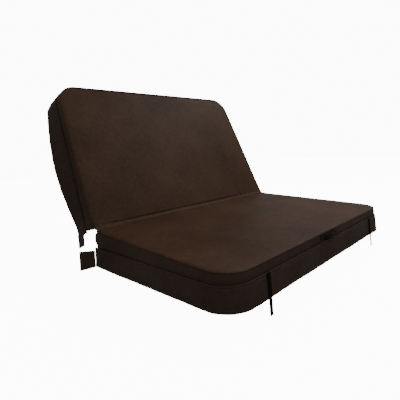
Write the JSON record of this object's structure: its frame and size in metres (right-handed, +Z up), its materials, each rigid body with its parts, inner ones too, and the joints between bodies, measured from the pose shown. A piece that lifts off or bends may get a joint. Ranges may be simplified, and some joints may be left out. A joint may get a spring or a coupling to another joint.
{
  "type": "spa cover",
  "caption": "Folding spa cover: tapered foam panels in vinyl jackets on a fabric hinge, with skirts, tie-down straps and a loop handle.",
  "frame": {"origin": "middle of the flat half's underside, the face that rests on the spa's rim", "axes": "+X along the fold, towards the right end; +Y from the flat half's outer edge towards the fold; +Z up, out of the flat half's top"},
  "size_m": [1.9576, 1.7704, 1.2689],
  "materials": {
    "vinyl_top": "satin marine vinyl with a fine grain",
    "vinyl_side": "satin marine vinyl with a fine grain",
    "webbing": "woven polypropylene webbing",
    "liner_cloth": "coated mesh cloth",
    "foam_core": "expanded polystyrene foam",
    "vapour_film": "polyethylene film",
    "galvanised_steel": "galvanised",
    "zipper_cloth": "woven zipper tape with moulded teeth",
    "brass": "satin"
  },
  "bodies": {
    "flat_half": {"flat_boxing": "vinyl_side", "flat_channel": "galvanised_steel", "flat_eyelet_left": "brass", "flat_eyelet_right": "brass", "flat_foam": "foam_core", "flat_handle": "vinyl_side", "flat_handle_patch_left": "vinyl_side", "flat_handle_patch_right": "vinyl_side", "flat_hinge_leaf": "vinyl_top", "flat_hinge_wall": "vinyl_side", "flat_lip": "vinyl_top", "flat_piping": "vinyl_top", "flat_skirt": "vinyl_side", "flat_top": "vinyl_top", "flat_underside": "liner_cloth", "flat_wrap": "vapour_film", "flat_zip_panel": "liner_cloth", "flat_zip_tape": "zipper_cloth", "seal_cover": "vinyl_side", "seal_foam": "foam_core"},
    "lifting_half": {"lift_boxing": "vinyl_side", "lift_channel": "galvanised_steel", "lift_eyelet_left": "brass", "lift_eyelet_right": "brass", "lift_foam": "foam_core", "lift_hinge_leaf": "vinyl_top", "lift_hinge_wall": "vinyl_side", "lift_lip": "vinyl_top", "lift_piping": "vinyl_top", "lift_skirt": "vinyl_side", "lift_top": "vinyl_top", "lift_underside": "liner_cloth", "lift_wrap": "vapour_film", "lift_zip_panel": "liner_cloth", "lift_zip_tape": "zipper_cloth"},
    "flat_strap_left": {"flat_strap_left": "webbing"},
    "flat_strap_right": {"flat_strap_right": "webbing"},
    "flat_flap_left": {"flat_flap_left": "vinyl_side"},
    "flat_flap_right": {"flat_flap_right": "vinyl_side"},
    "flat_slider": {"flat_slider": "brass"},
    "flat_pull": {"flat_pull": "brass"},
    "lift_strap_left": {"lift_strap_left": "webbing"},
    "lift_strap_right": {"lift_strap_right": "webbing"},
    "lift_flap_left": {"lift_flap_left": "vinyl_side"},
    "lift_flap_right": {"lift_flap_right": "vinyl_side"},
    "lift_slider": {"lift_slider": "brass"},
    "lift_pull": {"lift_pull": "brass"}
  },
  "joints": [
    {"name": "fold", "type": "hinge", "parent": "flat_half", "child": "lifting_half", "pos_m": [0, 0.5735, 0.1114], "axis": [1, 0, 0], "range_deg": [-68, 115]},
    {"name": "flat_strap_left_swing", "type": "hinge", "parent": "flat_half", "child": "flat_strap_left", "pos_m": [-0.634, -0.5047, 0.005], "axis": [-1, 0, 0], "range_deg": [0, 110]},
    {"name": "flat_strap_right_swing", "type": "hinge", "parent": "flat_half", "child": "flat_strap_right", "pos_m": [0.634, -0.5047, 0.005], "axis": [-1, 0, 0], "range_deg": [0, 110]},
    {"name": "flat_flap_left_swing", "type": "hinge", "parent": "flat_half", "child": "flat_flap_left", "pos_m": [-0.908, 0.5495, -0.055], "axis": [0, 0, 1], "range_deg": [-50, 24]},
    {"name": "flat_flap_right_swing", "type": "hinge", "parent": "flat_half", "child": "flat_flap_right", "pos_m": [0.908, 0.5495, -0.055], "axis": [0, 0, -1], "range_deg": [-50, 24]},
    {"name": "flat_zip_slide", "type": "slide", "parent": "flat_half", "child": "flat_slider", "axis": [1, 0, 0], "range_m": [0, 1.55]},
    {"name": "flat_pull_swing", "type": "hinge", "parent": "flat_slider", "child": "flat_pull", "pos_m": [-0.779, 0.5245, -0.0072], "axis": [0, -1, 0], "range_deg": [-75, 75]},
    {"name": "lift_strap_left_swing", "type": "hinge", "parent": "lifting_half", "child": "lift_strap_left", "pos_m": [-0.634, 1.07605, 1.07123], "axis": [1, 0, 0], "range_deg": [0, 110]},
    {"name": "lift_strap_right_swing", "type": "hinge", "parent": "lifting_half", "child": "lift_strap_right", "pos_m": [0.634, 1.07605, 1.07123], "axis": [1, 0, 0], "range_deg": [0, 110]},
    {"name": "lift_flap_left_swing", "type": "hinge", "parent": "lifting_half", "child": "lift_flap_left", "pos_m": [-0.902, 0.69691, 0.08743], "axis": [1, 0, 0], "range_deg": [-20, 30]},
    {"name": "lift_flap_right_swing", "type": "hinge", "parent": "lifting_half", "child": "lift_flap_right", "pos_m": [0.902, 0.69691, 0.08743], "axis": [1, 0, 0], "range_deg": [-20, 30]},
    {"name": "lift_zip_slide", "type": "slide", "parent": "lifting_half", "child": "lift_slider", "axis": [-1, 0, 0], "range_m": [0, 1.55]},
    {"name": "lift_pull_swing", "type": "hinge", "parent": "lift_slider", "child": "lift_pull", "pos_m": [0.779, 0.70182, 0.1124], "axis": [0, 0.3746, 0.9272], "range_deg": [-75, 75]}
  ]
}
